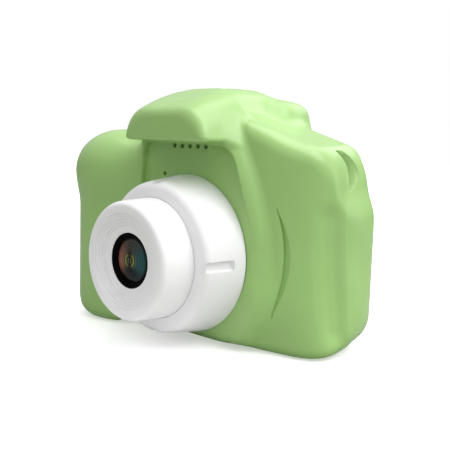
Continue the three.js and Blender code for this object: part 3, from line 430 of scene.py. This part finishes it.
# cover window: clear over the picture area, printed black round it
k = Nodes("screen_glass")
sep = k.new("ShaderNodeSeparateXYZ", Vector=k.co)
ex = k.math("SUBTRACT", k.math("ABSOLUTE", k.math("SUBTRACT", sep.outputs[0], 0.0066)), 0.0203); ez = k.math("SUBTRACT", k.math("ABSOLUTE", k.math("SUBTRACT", sep.outputs[2], 0.0255)), 0.0153)
view = k.remap(k.math("MAXIMUM", ex, ez), -0.00015, 0.00015, 1, 0)
cell = k.new("ShaderNodeTexBrick", Vector=k.new("ShaderNodeMapping", Vector=k.co, Rotation=(math.pi / 2, 0, 0)).outputs[0], Scale=1500.0, offset=0.0); cell.inputs["Mortar Size"].default_value = 0.12
cell.inputs["Color1"].default_value = (0.020, 0.023, 0.027, 1); cell.inputs["Color2"].default_value = (0.022, 0.025, 0.030, 1); cell.inputs["Mortar"].default_value = (0.012, 0.013, 0.015, 1)
k.set(color=k.mix(view, (0.004, 0.004, 0.0045), cell.outputs["Color"]), rough=k.remap(k.noise(120.0, 4.0, 0.65), 0.4, 0.75, 0.06, 0.16), coat=1.0, coat_rough=0.03, normal=k.bump(k.noise(60.0, 1.0), 0.02, 0.0001))
MAT["screen_glass"] = k.m

slot_of = {p["node"]: p["material_slot"] for p in frame["record"]["subparts"]}
for name, o in frame["nodes"].items():
    o.data.materials.clear(); o.data.materials.append(MAT[slot_of[name]])
    o.data.set_sharp_from_angle(angle=math.radians(32)); o.data.polygons.foreach_set("use_smooth", [True] * len(o.data.polygons))

# ------------------------------------------------------------------ case halves
WIN = dict(x=6.6, z=25.5, w=44.0, h=34.0, t=1.0)
VIEW_W, VIEW_H = 41.0, 31.0
KEY_X, KEY_Z, PITCH, KEY_R = -25.6, 25.0, 6.2, 2.45
KEYS = {"up": (0, 1), "down": (0, -1), "left": (-1, 0), "right": (1, 0), "ok": (0, 0)}
TOP_Y, TOP_Z = 7.5, LENS_Z + 30.6 - 0.14 * (7.5 - SEAT_Y - 4)
TOP = Matrix.Translation((0, TOP_Y, TOP_Z)) @ Matrix.Rotation(-math.radians(8), 4, "X")
SHUTTER, POWER = (-28.0, 3.8), (-19.2, 2.2)
SCREWS = [(-34.0, 7.0, -5.0), (-34.0, 41.0, -5.0), (33.0, 6.2, -0.5), (32.5, 35.6, -0.5)]
POSTS = [(-31.0, 33.5), (2.0, 12.5)]
BARREL = [(15.4 * math.cos(math.radians(a)), LENS_Z + 15.4 * math.sin(math.radians(a))) for a in (90, 210, 330)]
PORT = (-5.0, 22.0, 3.4, 9.9, 1.3)
STRAP = dict(x=39.0, y=10.55, r=8.2, z=43.1, w=1.2, h=4.4)

def hit(axis, outside, inside, **fixed):
    """Where the case surface is along one axis, by halving between a point outside and one inside."""
    n = next(iter(fixed.values())).shape; a = np.full(n, float(outside)); b = np.full(n, float(inside))
    for _ in range(34):
        m = (a + b) / 2; f = case(**{**fixed, axis: m}) > 0
        a = np.where(f, m, a); b = np.where(f, b, m)
    return (a + b) / 2

def scoop(P, depth, lift=3.0):
    """Cutter from a grid P[u, v] of surface points: its floor lies depth[u, v] under the surface."""
    nu, nv, _ = P.shape
    G = gradient(case, P.reshape(-1, 3)); G /= np.linalg.norm(G, axis=1)[:, None]; N = G.reshape(P.shape)
    lo = P - N * depth[..., None]; hi = P + N * lift
    V = np.concatenate([lo.reshape(-1, 3), hi.reshape(-1, 3)]); m = nu * nv; F = []
    at = lambda i, j: i * nv + j
    for i in range(nu - 1):
        for j in range(nv - 1):
            q = [at(i, j), at(i + 1, j), at(i + 1, j + 1), at(i, j + 1)]
            F.append(q); F.append([p + m for p in q[::-1]])
    edge = [at(i, 0) for i in range(nu)] + [at(nu - 1, j) for j in range(1, nv)] + [at(i, nv - 1) for i in range(nu - 2, -1, -1)] + [at(0, j) for j in range(nv - 2, 0, -1)]
    for p, q in zip(edge, edge[1:] + edge[:1]): F.append([p, p + m, q + m, q])
    return (V, F) if volume((V, F)) > 0 else (V, [q[::-1] for q in F])

step = 0.46
outer = obj("outer", *surface_nets(case, (-45.4, -26.9, -2.6), (42.2, 21.4, 66.4), step))
cavity = obj("cavity", *surface_nets(lambda x, y, z: case(x, y, z, False) + WALL, (-45, -26.5, -2), (42, 21, 66), 1.1))
cut(cavity, box(29.2, 45, 3.0, 20, STRAP["z"] - STRAP["h"] / 2 - 1.1, STRAP["z"] + STRAP["h"] / 2 + 3))

# crescent scoop beside the lens: deepest along its inner edge, running out to a fine step along its outer edge
nu, nv = ((150, 26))
u = np.linspace(-1, 1, nu)[:, None] * 12.88 + 0 * np.zeros((1, nv)); v = np.linspace(0, 1, nv)[None] + 0 * u
xi = -25.25 + np.sqrt(52.0 ** 2 - u * u); xo = np.maximum(1.2 + np.sqrt(27.2 ** 2 - u * u), xi + 0.34)
Xc = xi + (xo - xi) * v; Zg = u + 0.4 + LENS_Z
Yc = hit("Y", -17.0, 4.0, X=Xc, Z=Zg)
ends = np.sqrt(np.clip(1 - (u / 12.95) ** 2, 0, 1))
run = v * (xo - xi)
crescent = scoop(np.stack([Xc, Yc, Zg], -1), np.minimum(0.02 + run + 6 * np.maximum(run - 0.34, 0), 0.02 + (0.20 + 0.85 * (1 - v ** 1.7)) * (0.35 + 0.65 * ends)))
# pocket where the wrist strap starts: deep behind a curved lip, running out to the rear
nu, nv = ((70, 22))
u = np.linspace(17.3, 27.1, nu)[:, None] + 0 * np.zeros((1, nv)); v = np.linspace(0, 1, nv)[None] + 0 * u
yl = 19.25 - 0.17 * np.maximum(u - 22.9, 0) ** 1.8; yr = np.maximum(23.4 - 0.16 * (u - 22.3) ** 2, yl + 0.5)
Yp = yl + (yr - yl) * v + SEAT_Y; Zp = u + LENS_Z
Xp = hit("X", 42.0, 27.0, Y=Yp, Z=Zp)
pocket = scoop(np.stack([Xp, Yp, Zp], -1), (0.05 + 4.0 * (1 - v) ** 1.2) * sstep(0.2, 2.4, yr - yl) * sstep(27.3, 26.0, u) + 0.02)
cut(outer, crescent)
cut(outer, pocket)
t = np.radians(np.linspace(-137, -226.5, 28))
arc = lambda r: np.c_[STRAP["x"] + r * np.cos(t), STRAP["y"] + r * np.sin(t)]
a, b = arc(STRAP["r"] + STRAP["w"] / 2), arc(STRAP["r"] - STRAP["w"] / 2)
rings = []
for (p, q) in zip(a, b):
    z0, z1 = STRAP["z"] - STRAP["h"] / 2, STRAP["z"] + STRAP["h"] / 2; d = (q - p) / 6
    rings.append(np.array([(*p, z0 + 0.5), (*(p + d), z0), (*(q - d), z0), (*q, z0 + 0.5), (*q, z1 - 0.5), (*(q - d), z1), (*(p + d), z1), (*p, z1 - 0.5)]))
tunnel = ring_loft(rings)

shell = boolean(outer, tool(tunnel), "DIFFERENCE")
solid_copy = bpy.data.objects.new("solid", outer.data.copy()); bpy.context.scene.collection.objects.link(solid_copy)
boolean(shell, cavity, "DIFFERENCE")
ribs = tool(*[cyl_y(x, z, 3.2, -21, 17, 40) for x, z, _ in SCREWS], *[cyl_y(x, z, 2.2, -21, 7.8, 32) for x, z in POSTS])
boolean(ribs, solid_copy, "INTERSECT", keep=True)
cut(ribs, cyl_y(0, LENS_Z, 20.25, -30, SEAT_Y, 200))
boolean(shell, ribs, "UNION")
rear = bpy.data.objects.new("rear", shell.data.copy()); bpy.context.scene.collection.objects.link(rear)
front = shell
boolean(front, tool(box(-60, 60, -60, SEAM_Y - SEAM_GAP, -10, 80)), "INTERSECT")
posts = tool(*[cyl_y(x, z, 2.2, -2.0, 7.8, 32) for x, z in POSTS])
boolean(front, posts, "UNION")
boolean(rear, tool(box(-60, 60, SEAM_Y + SEAM_GAP, 60, -10, 80)), "INTERSECT")
cut(rear, *[cyl_y(x, z, 2.6, -2, 8.2, 24) for x, z in POSTS])
cut(front, cyl_y(0, LENS_Z, 20.25, -30, SEAT_Y, 240))
cut(front, cyl_y(0, LENS_Z, 10.5, -30, -8, 96), *[cyl_y(x, 49.0, 0.6, -18, -9, 28) for x in (-5.6, -2.8, 0.0, 2.8, 5.6)], cyl_y(-9.0, 41.7, 0.5, -18, -9, 24),
    *[cyl_y(x, z, 1.3, -20, -8, 24) for x, z in BARREL], *[cyl_y(x, z, 1.2, s - 0.5, 10, 20) for x, z, s in SCREWS], *[cyl_y(x, z, 1.0, 1.0, 12, 20) for x, z in POSTS])
cut(front, *[cyl_y(x, z, 2.3, -12.1, -8, 32) for x, z in BARREL])
x0, x1, z0, z1 = WIN["x"] - WIN["w"] / 2, WIN["x"] + WIN["w"] / 2, WIN["z"] - WIN["h"] / 2, WIN["z"] + WIN["h"] / 2
cut(rear, plate_y(x0 - 0.15, x1 + 0.15, z0 - 0.15, z1 + 0.15, 2.5, BACK_Y - 1.1, BACK_Y + 4))
cut(rear, box(WIN["x"] - VIEW_W / 2, WIN["x"] + VIEW_W / 2, 10, 20, WIN["z"] - VIEW_H / 2, WIN["z"] + VIEW_H / 2), *[cyl_y(KEY_X + a * PITCH, KEY_Z + b * PITCH, KEY_R + 0.25, 10, 20, 56) for a, b in KEYS.values()],
    *[cyl_y(x, z, 2.3, 6.6, 22, 48) for x, z, _ in SCREWS])
cut(rear, *[cyl_y(x, z, 1.25, 0, 8, 24) for x, z, _ in SCREWS], *[to(cyl_z(x, 0, r + 0.25, -6, 6, 64), TOP) for x, r in (SHUTTER, POWER)], box(PORT[0] - 0.2, PORT[1] + 0.2, PORT[2] - 0.1, PORT[3], -4, PORT[4] + 0.1), cyl_z(-9.0, 6.3, 0.6, -4, 4, 24))
cut(rear, box(PORT[0] + 1.2, PORT[1] - 0.8, PORT[2] + 1.2, PORT[3] - 1.6, -4, 3.2), box(WIN["x"] - 22.6, WIN["x"] + 22.6, 3, BACK_Y - WALL - 0.05, WIN["z"] - 17.8, WIN["z"] + 17.8),
    *[to(cyl_z(x, 0, r + 1.2, -8, -2.2, 32), TOP) for x, r in (SHUTTER, POWER)])
cut(rear, box(KEY_X - PITCH - 3.2, WIN["x"] - 22.4, 3, BACK_Y - WALL - 0.3, KEY_Z - PITCH - 3.2, KEY_Z + PITCH + 3.2))
bpy.data.objects.remove(solid_copy)
front.name = "case_front"; rear.name = "case_rear"
finish_piece(front, "case", "case_green", ["front_shell"], field=True)
finish_piece(rear, "case", "case_green", ["rear_shell"], field=True)

# ------------------------------------------------------------------ lens barrel
RIM, TIP = SEAT_Y - 11.86, SEAT_Y - 11.86 - 8.98
def piece(name, gs, body, slot, replaces=(), cuts=(), angle=32, mat=None):
    o = obj(name, *parts(*gs))
    for g in cuts: cut(o, *g)
    o.name = name
    return finish_piece(o, body, slot, replaces, angle, mat=mat)

def groove(a):
    """Slot with a round end, cut from outside along the barrel; a is its place round the axis."""
    w, y0, y1 = 1.32, RIM + 0.55, RIM + 8.3
    P = [(w, y0 + 0.45), (w - 0.13, y0 + 0.13), (w - 0.45, y0), (-w + 0.45, y0), (-w + 0.13, y0 + 0.13), (-w, y0 + 0.45), (-w, y1 - 0.45), (-w + 0.13, y1 - 0.13), (-w + 0.45, y1), (w - 0.45, y1), (w - 0.13, y1 - 0.13), (w, y1 - 0.45)]
    low = np.array([(x * 0.62, y0 + (y - y0) * 0.94 + 0.15, 17.30 + (y - RIM) * 0.14) for x, y in P]); mid = np.array([(x * 0.90, y, 17.80 + (y - RIM) * 0.14) for x, y in P])
    high = np.array([(x, y, 23.0) for x, y in P])
    return to(ring_loft([low, mid, high]), Matrix.Translation((0, 0, LENS_Z)) @ Matrix.Rotation(math.radians(a), 4, "Y"))
n = 224
piece("lens_barrel_outer", [lathe_y([(19.96, SEAT_Y - 0.1), (20.0, SEAT_Y - 0.42, 0.25), (18.30, RIM, 2.1), (14.72, RIM), (14.72, RIM + 1.95), (16.7, RIM + 1.95), (17.2, SEAT_Y - 2.6), (12.0, SEAT_Y - 2.6), (12.0, SEAT_Y - 0.1)], n, 0, LENS_Z, 12)],
      "case", "barrel_white", ["lens_outer_barrel"], [[groove(a) for a in (0, 90, 180, 270)], [cyl_y(x, z, 1.15, SEAT_Y - 6, SEAT_Y + 2, 20) for x, z in BARREL]])
prof = [(16.4, RIM + 2.0), (14.68, RIM + 2.0), (14.63, RIM - 0.4), (14.12, TIP, 2.9), (11.30, TIP, 0.12)]
r, y = 11.30, TIP
for dr in (0.12, 0.10, 0.10, 0.10):
    y += 0.30; prof.append((r - 0.05, y, 0.05)); r -= 0.72; prof.append((r, y - 0.02, 0.12))
prof += [(r - 0.05, y + 0.28, 0.06), (6.62, TIP + 1.95, 0.05), (6.62, TIP + 4.4), (12.4, TIP + 4.4), (12.4, RIM + 3.8), (16.4, RIM + 3.8)]
piece("lens_barrel_inner", [lathe_y(prof, n, 0, LENS_Z, 10)], "case", "barrel_white", ["lens_inner_barrel"], angle=26)
piece("lens_bezel", [lathe_y([(6.59, TIP + 2.25), (6.59, TIP + 1.90, 0.08), (6.25, TIP + 1.86, 0.1), (5.33, TIP + 2.62, 0.05), (5.38, TIP + 2.84), (5.50, TIP + 3.02), (5.50, TIP + 3.9), (4.3, TIP + 3.9), (4.3, TIP + 5.2), (8.4, TIP + 5.2), (8.4, TIP + 4.5), (6.59, TIP + 4.5)], n, 0, LENS_Z)], "case", "trim_black", ["lens_bezel_ring"])
dome = [(0, TIP + 2.02)] + [(5.42 * math.sin(a), TIP + 2.02 + 1.0 * (1 - math.cos(a)) / (1 - math.cos(1.2)) * (math.sin(a) / math.sin(1.2)) ** 0.5) for a in np.linspace(0.08, 1.2, 22)]
dome = [(q[0] / math.sin(1.2) if q[0] else 0, q[1]) for q in dome]
piece("lens_front_element", [lathe_y(dome + [(5.42, TIP + 3.8), (0, TIP + 3.8)], 128, 0, LENS_Z)], "case", "lens_glass", ["lens_glass"], angle=50)

# ------------------------------------------------------------------ rear window, keys and top buttons
piece("screen_cover", [plate_y(x0, x1, z0, z1, 2.4, BACK_Y - 1.0, BACK_Y, 0.3, 14)], "case", "screen_glass", ["screen_window"], angle=40)
PROUD = BACK_Y + 0.8
for name, (a, b) in KEYS.items():
    x, z = KEY_X + a * PITCH, KEY_Z + b * PITCH
    dish = [(2.5, PROUD - 0.55), (2.32, PROUD - 0.06, 0.28), (1.75, PROUD - 0.02, 0.4), (0.9, PROUD - 0.13), (0.0, PROUD - 0.16)]
    dish[0] = (KEY_R, PROUD - 0.55)
    piece("keycap_" + name, [lathe_y([(0, 10.95), (1.1, 10.95), (1.1, 12.7), (2.9, 12.7), (2.9, 13.6), (KEY_R, 13.6)] + dish, 64, x, z)], "button_" + name, "key_white", ["key_" + name])
    if name == "ok":
        g = [lathe_y([(1.0, PROUD - 0.3), (1.0, PROUD - 0.07, 0.04), (0.62, PROUD - 0.07, 0.04), (0.62, PROUD - 0.3)], 48, x, z)]
    else:
        ang = math.atan2(b, a); pts = []
        for q in (0, 120, 240):
            for s in (-14, -7, 0, 7, 14): t = ang + math.radians(q + s); pts.append((x + (1.05 - 0.018 * abs(s)) * math.cos(t), z + (1.05 - 0.018 * abs(s)) * math.sin(t)))
        pts = np.array(pts); g = [ring_loft([np.c_[pts[:, 0], 0 * pts[:, 0] + yy, pts[:, 1]] for yy in (PROUD - 0.3, PROUD - 0.05)])]
    piece("keymark_" + name, g, "button_" + name, "key_white", mat="key_mark")

def top_cap(r):
    P = [(0, -4.5), (1.6, -4.5), (1.6, -3.4), (r + 0.9, -3.4), (r + 0.9, -2.5), (r, -2.5), (r, 0.5, 0.4), (r - 0.55, 0.56, 0.5), (r * 0.5, 0.42), (0, 0.36)]
    return to(lathe_y(P, 96), Matrix.Rotation(math.pi / 2, 4, "X"))
for name, (x, r) in (("shutter", SHUTTER), ("power", POWER)):
    M = TOP @ Matrix.Translation((x, 0, 0))
    piece(name + "_cap", [to(top_cap(r), M)], name, "key_white", [name + "_button"])
    d = to(lathe_y([(0.75, 0.25), (0.75, 0.47, 0.04), (0.45, 0.47, 0.04), (0.45, 0.25)] if name == "power" else [(1.75, 0.2), (1.75, 0.55, 0.05), (1.5, 0.55, 0.05), (1.5, 0.2)], 64), Matrix.Rotation(math.pi / 2, 4, "X"))
    piece(name + "_mark", [to(d, M)], name, "key_white", mat="key_mark")

# ------------------------------------------------------------------ port cover and screws
py, pz, pr = PORT[2] + 0.85, 0.72, 0.62
sec = fillet([(py + pr * math.cos(t), pz + pr * math.sin(t)) for t in np.linspace(math.pi / 2, 1.5 * math.pi, 13)] + [(PORT[3] - 0.25, pz - pr, 0.28), (PORT[3] - 0.25, pz + pr, 0.2)], 5)
sec = np.array([tuple(q) for q in sec]); rings = []
for x, s in ((PORT[0], 0.25), (PORT[0] + 0.08, 0.1), (PORT[0] + 0.3, 0.0), (PORT[1] - 0.3, 0.0), (PORT[1] - 0.08, 0.1), (PORT[1], 0.25)):
    c = sec.mean(0); q = c + (sec - c) * np.array([1 - s / 3.2, 1 - s / 0.7]); rings.append(np.c_[0 * q[:, 0] + x, q])
mid = (PORT[0] + PORT[1]) / 2
piece("port_flap", [ring_loft(rings)], "cover", "cover_rubber", ["port_cover"], [[to(cyl_z(0, 0, 3.0, -2, 0.42, 64), Matrix.Translation((mid, PORT[3] + 1.2, 0)))],
      [box(PORT[0] + 2.0, PORT[1] - 2.0, 5.0, 5.35, -1, 0.28)]])
def screw(name, x, z, seat, tip_y, hr, sr, hh, node):
    cross = [box(x - 1.15, x + 1.15, seat + hh * 0.35, seat + hh + 1, z - 0.24, z + 0.24)]
    cross2 = [box(x - 0.24, x + 0.24, seat + hh * 0.35, seat + hh + 1, z - 1.15, z + 1.15)]
    piece(name, [lathe_y([(0, tip_y), (sr, tip_y + 0.6), (sr, seat), (hr, seat), (hr, seat + hh * 0.62, 0.15), (hr * 0.72, seat + hh, 0.5), (0, seat + hh)], 48, x, z)], "case", "screw_steel", [node], [cross, cross2])
for i, (x, z, s) in enumerate(SCREWS): screw(f"screw_{i + 1}", x, z, 6.75, s, 2.0, 1.0, 1.5, f"case_screw_{i + 1}")

# ------------------------------------------------------------------ floor, light, camera
fl = obj("floor", *(lambda n: (np.array([(x, y, -0.15) for x in np.linspace(-1500, 1500, n) for y in np.linspace(-1500, 1500, n)]), [[i * n + j, (i + 1) * n + j, (i + 1) * n + j + 1, i * n + j + 1] for i in range(n - 1) for j in range(n - 1)]))(9))
k = Nodes("floor"); path = k.new("ShaderNodeLightPath"); seen = path.outputs["Is Camera Ray"]; k.m.cycles.emission_sampling = "NONE"
sep = k.new("ShaderNodeSeparateXYZ", Vector=k.co)
# painted light: the floor glows for camera rays, weakly near the object so its shadow stays, and up to plain white
# further out
far = k.remap(k.math("SQRT", k.math("ADD", k.math("POWER", sep.outputs[0], 2.0), k.math("POWER", sep.outputs[1], 2.0))), 0.04, 0.32, 0.42, 1.0)
pale = k.mix(k.remap(k.noise(6.0, 3.0), 0.3, 0.7, 0, 1), (0.90, 0.90, 0.895), (0.93, 0.93, 0.925))
off = k.math("SQRT", k.math("ADD", k.math("POWER", sep.outputs[0], 2.0), k.math("POWER", k.math("ADD", sep.outputs[1], 0.034), 2.0)))
painted_bounce = k.mix(k.remap(off, 0.014, 0.040, 1.0, 0.0), (0.41, 0.42, 0.39), (0.90, 0.89, 0.90))      # painted bounce: rays other than the camera's see the floor painted brighter under the lens, so it throws extra light onto the barrel's underside
k.set(color=k.mix(seen, painted_bounce, pale), rough=0.8, normal=k.bump(k.noise(300.0, 3.0), 0.05, 0.0002), spec=0.1)
# painted light: for rays other than the camera's, the floor glows within about a millimetre of the case and lights its
# underside where it meets the floor
k.b.inputs["Emission Color"].default_value = (1, 1, 1, 1); contact_glow = k.math("MULTIPLY", k.math("SUBTRACT", 1.0, seen), k.remap(path.outputs["Ray Length"], 0.0004, 0.0014, 0.20, 0.0))
k.plug(k.b.inputs["Emission Strength"], k.math("ADD", k.math("MULTIPLY", seen, far), contact_glow))
under = k.new("ShaderNodeNewGeometry").outputs["Backfacing"]      # looked at from below, the floor lets the underside be seen
k.set(alpha=k.math("SUBTRACT", 1.0, k.math("MULTIPLY", seen, under)))
fl.data.transform(Matrix.Scale(MM, 4)); fl.data.materials.append(k.m)

w = bpy.data.worlds.new("studio"); bpy.context.scene.world = w; w.use_nodes = True; t = w.node_tree
bg = t.nodes["Background"]; bg.inputs[0].default_value = (0.99, 1.0, 1.0, 1)
co = t.nodes.new("ShaderNodeTexCoord"); sp = t.nodes.new("ShaderNodeSeparateXYZ"); t.links.new(co.outputs["Generated"], sp.inputs[0])
ra = t.nodes.new("ShaderNodeValToRGB"); t.links.new(sp.outputs[2], ra.inputs[0]); ra.color_ramp.elements[0].color = (0.25, 0.25, 0.25, 1); ra.color_ramp.elements[1].position = 0.6; ra.color_ramp.elements[1].color = (0.85, 0.85, 0.85, 1)
t.links.new(ra.outputs[0], bg.inputs[1])
seen = t.nodes.new("ShaderNodeBackground"); seen.inputs[0].default_value = (1, 1, 1, 1); seen.inputs[1].default_value = 1.0
lp = t.nodes.new("ShaderNodeLightPath"); mx = t.nodes.new("ShaderNodeMixShader")
t.links.new(lp.outputs["Is Camera Ray"], mx.inputs[0]); t.links.new(bg.outputs[0], mx.inputs[1]); t.links.new(seen.outputs[0], mx.inputs[2]); t.links.new(mx.outputs[0], t.nodes["World Output"].inputs[0])
def area(name, loc, size, energy, target=(0, -0.002, 0.027), size_y=None, color=(1, 1, 1)):
    l = bpy.data.lights.new(name, "AREA"); l.size = size; l.energy = energy; l.color = color
    if size_y: l.shape = "RECTANGLE"; l.size_y = size_y
    o = bpy.data.objects.new(name, l); bpy.context.scene.collection.objects.link(o); o.location = loc
    o.rotation_mode = "QUATERNION"; o.rotation_quaternion = (Vector(target) - Vector(loc)).to_track_quat("-Z", "Y")
area("key_top_right", (0.28, 0.05, 0.36), 0.26, 0.80)
area("top_soft", (0.03, 0.04, 0.45), 0.30, 0.70)
area("top_back", (0.05, 0.34, 0.34), 0.26, 0.42)
area("side_back", (0.34, 0.26, 0.12), 0.20, 0.22, size_y=0.30)
area("front_fill", (0.22, -0.30, 0.20), 0.24, 0.05)
area("strip_right", (0.40, -0.13, 0.06), 0.03, 0.075, size_y=0.34)
cam = bpy.data.cameras.new("camera"); cam.sensor_width = 36; cam.lens = 700.348 / 450 * 36; cam.clip_start, cam.clip_end = 0.005, 20
co = bpy.data.objects.new("camera", cam); bpy.context.scene.collection.objects.link(co)
r_, u_, b_ = (0.727507, 0.685444, 0.030024), (-0.107075, 0.070203, 0.991772), (0.677695, -0.724734, 0.124467)
co.matrix_world = Matrix([[r_[0], u_[0], b_[0], 0.126916], [r_[1], u_[1], b_[1], -0.136066], [r_[2], u_[2], b_[2], 0.051475], [0, 0, 0, 1]])
bpy.context.scene.camera = co
bpy.context.scene.view_settings.view_transform = "Standard"

bpy.context.view_layer.update()
